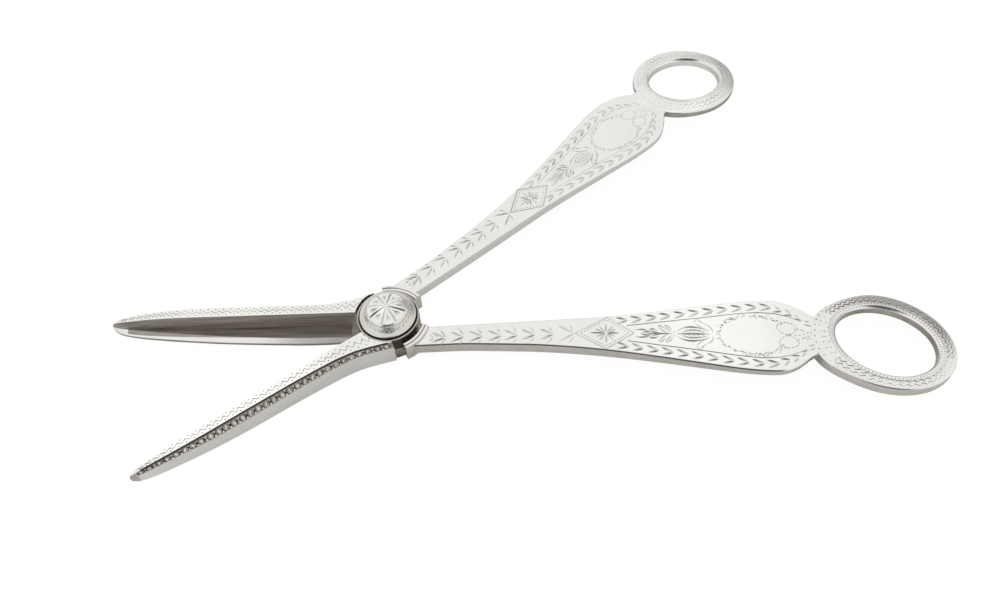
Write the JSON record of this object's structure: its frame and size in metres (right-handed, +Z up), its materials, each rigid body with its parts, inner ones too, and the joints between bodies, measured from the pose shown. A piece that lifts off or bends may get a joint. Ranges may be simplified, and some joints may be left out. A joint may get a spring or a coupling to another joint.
{
  "type": "grape shears",
  "caption": "Silver grape shears: two engraved flat handles with oval finger rings, half-lapped on a rosette pivot, one blade closing over the floor of the other.",
  "frame": {"origin": "on the pivot axis, at the underside of the pivot pin's head, which is level with the underside of the joint", "axes": "+Z up along the pivot axis, +X along the bisector of the handles, from the blades to the finger rings"},
  "size_m": [0.1731, 0.1196, 0.0106],
  "materials": {
    "channel_blade": "polished silver, engraved top, dull channel",
    "cutting_blade": "polished silver, engraved top",
    "lower_joint_plate": "satin silver",
    "upper_joint_plate": "polished silver",
    "lower_collar": "polished silver, reeded",
    "upper_collar": "polished silver, reeded",
    "lower_handle": "polished silver, bright-cut engraved",
    "upper_handle": "polished silver, bright-cut engraved",
    "lower_finger_ring": "polished silver, engraved band",
    "upper_finger_ring": "polished silver, engraved band",
    "pivot_pin": "satin silver",
    "tail_washer": "satin silver",
    "rosette_boss": "polished silver, chased petals"
  },
  "bodies": {
    "lower_half": {"channel_blade": "channel_blade", "lower_joint_plate": "lower_joint_plate", "lower_collar": "lower_collar", "lower_handle": "lower_handle", "lower_finger_ring": "lower_finger_ring", "pivot_pin": "pivot_pin", "tail_washer": "tail_washer", "rosette_boss": "rosette_boss"},
    "upper_half": {"cutting_blade": "cutting_blade", "upper_joint_plate": "upper_joint_plate", "upper_collar": "upper_collar", "upper_handle": "upper_handle", "upper_finger_ring": "upper_finger_ring"}
  },
  "joints": [
    {"name": "shears_pivot", "type": "hinge", "parent": "lower_half", "child": "upper_half", "pos_m": [0, 0, 0], "axis": [0, 0, 1], "range_deg": [-35.4, 9]}
  ]
}
